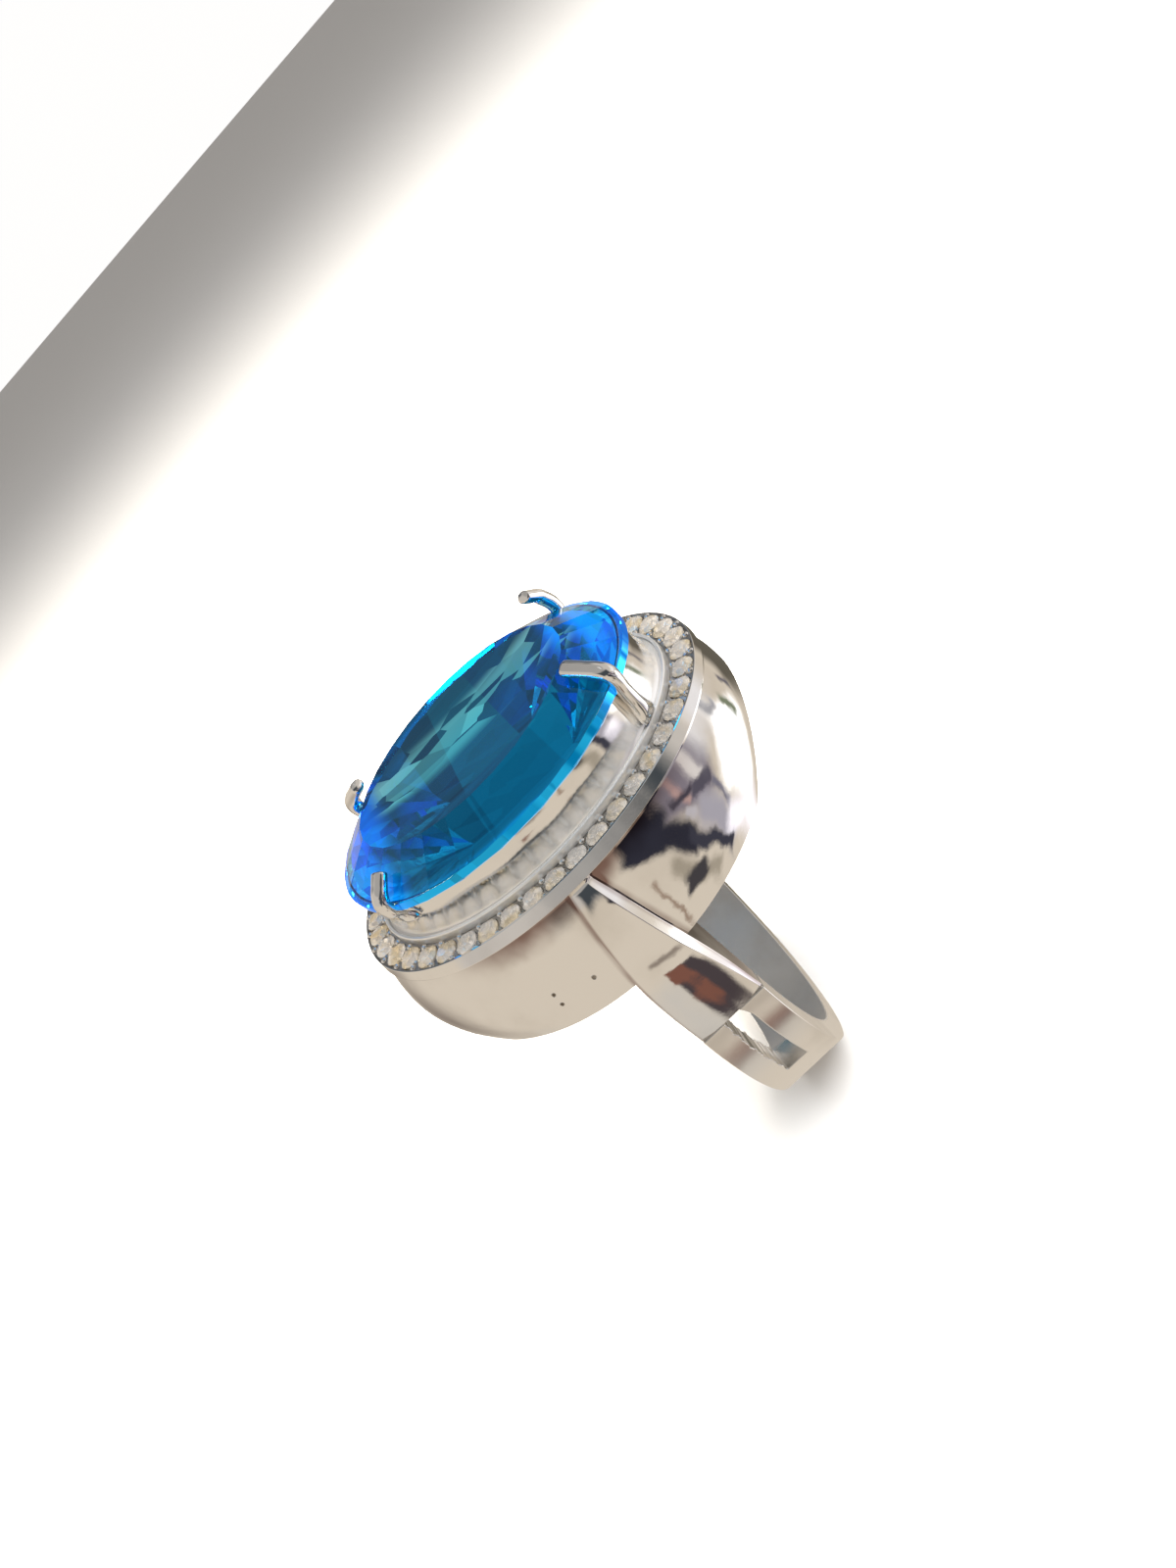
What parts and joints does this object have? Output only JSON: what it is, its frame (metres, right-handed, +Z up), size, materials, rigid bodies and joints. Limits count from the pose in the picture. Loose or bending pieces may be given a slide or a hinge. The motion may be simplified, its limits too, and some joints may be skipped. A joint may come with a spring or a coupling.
{
  "type": "cocktail ring",
  "caption": "White metal finger ring with a large faceted blue oval stone in a claw collar, a halo of small white stones and a domed hollow head.",
  "frame": {"origin": "middle of the finger hole", "axes": "+Z up through the large stone, +Y along the finger hole towards the fingertip end, +X towards the right-hand strap"},
  "size_m": [0.0214, 0.0226, 0.0271],
  "materials": {
    "white_metal": "polished rhodium-white silver",
    "blue_stone": "faceted and polished",
    "white_stone": "faceted and polished"
  },
  "bodies": {
    "root": {"head_shell": "white_metal", "lower_shank": "white_metal", "shoulder_strap_right": "white_metal", "shoulder_strap_left": "white_metal", "halo_outer_rim": "white_metal", "halo_inner_rim": "white_metal", "halo_tray": "white_metal", "halo_inner_grains": "white_metal", "halo_outer_grains": "white_metal", "stone_collar": "white_metal", "claw_tip_right": "white_metal", "claw_tip_left": "white_metal", "claw_knuckle_left": "white_metal", "claw_knuckle_right": "white_metal", "center_stone": "blue_stone", "halo_stone_01": "white_stone", "halo_stone_02": "white_stone", "halo_stone_03": "white_stone", "halo_stone_04": "white_stone", "halo_stone_05": "white_stone", "halo_stone_06": "white_stone", "halo_stone_07": "white_stone", "halo_stone_08": "white_stone", "halo_stone_09": "white_stone", "halo_stone_10": "white_stone", "halo_stone_11": "white_stone", "halo_stone_12": "white_stone", "halo_stone_13": "white_stone", "halo_stone_14": "white_stone", "halo_stone_15": "white_stone", "halo_stone_16": "white_stone", "halo_stone_17": "white_stone", "halo_stone_18": "white_stone", "halo_stone_19": "white_stone", "halo_stone_20": "white_stone", "halo_stone_21": "white_stone", "halo_stone_22": "white_stone", "halo_stone_23": "white_stone", "halo_stone_24": "white_stone", "halo_stone_25": "white_stone", "halo_stone_26": "white_stone", "halo_stone_27": "white_stone", "halo_stone_28": "white_stone", "halo_stone_29": "white_stone", "halo_stone_30": "white_stone", "halo_stone_31": "white_stone", "halo_stone_32": "white_stone", "halo_stone_33": "white_stone", "halo_stone_34": "white_stone", "halo_stone_35": "white_stone", "halo_stone_36": "white_stone", "halo_stone_37": "white_stone", "halo_stone_38": "white_stone", "halo_stone_39": "white_stone", "halo_stone_40": "white_stone", "halo_stone_41": "white_stone", "halo_stone_42": "white_stone", "halo_stone_43": "white_stone"}
  },
  "joints": []
}
